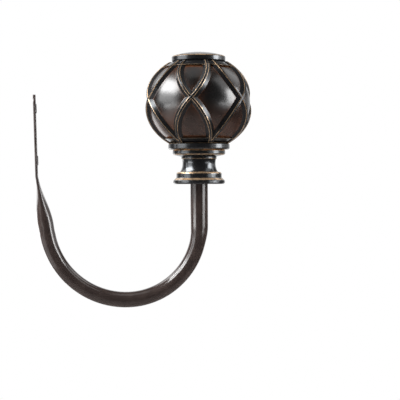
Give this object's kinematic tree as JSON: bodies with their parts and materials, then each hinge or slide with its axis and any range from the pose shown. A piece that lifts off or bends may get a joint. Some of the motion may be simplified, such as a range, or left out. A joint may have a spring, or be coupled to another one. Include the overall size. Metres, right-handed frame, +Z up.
{
  "type": "curtain holdback",
  "caption": "Bent-tube curtain holdback with a flattened, pierced wall end and a cast lattice-ball finial that keeps the drawn curtain in its hook",
  "frame": {"origin": "on the wall face of the flattened end, midway between its two screw holes", "axes": "+X away from the wall, +Z up, Y along the wall"},
  "size_m": [0.158, 0.0782, 0.1826],
  "materials": {
    "tube_finish": "satin dark bronze",
    "finial_finish": "gloss black-bronze with copper-rubbed edges",
    "insert_brass": "machined",
    "stud_steel": "zinc plated",
    "plug_steel": "machined"
  },
  "bodies": {
    "root": {"hook_tube": "tube_finish", "finial": "finial_finish", "threaded_insert": "insert_brass", "threaded_stud": "stud_steel", "tube_plug": "plug_steel"}
  },
  "joints": []
}
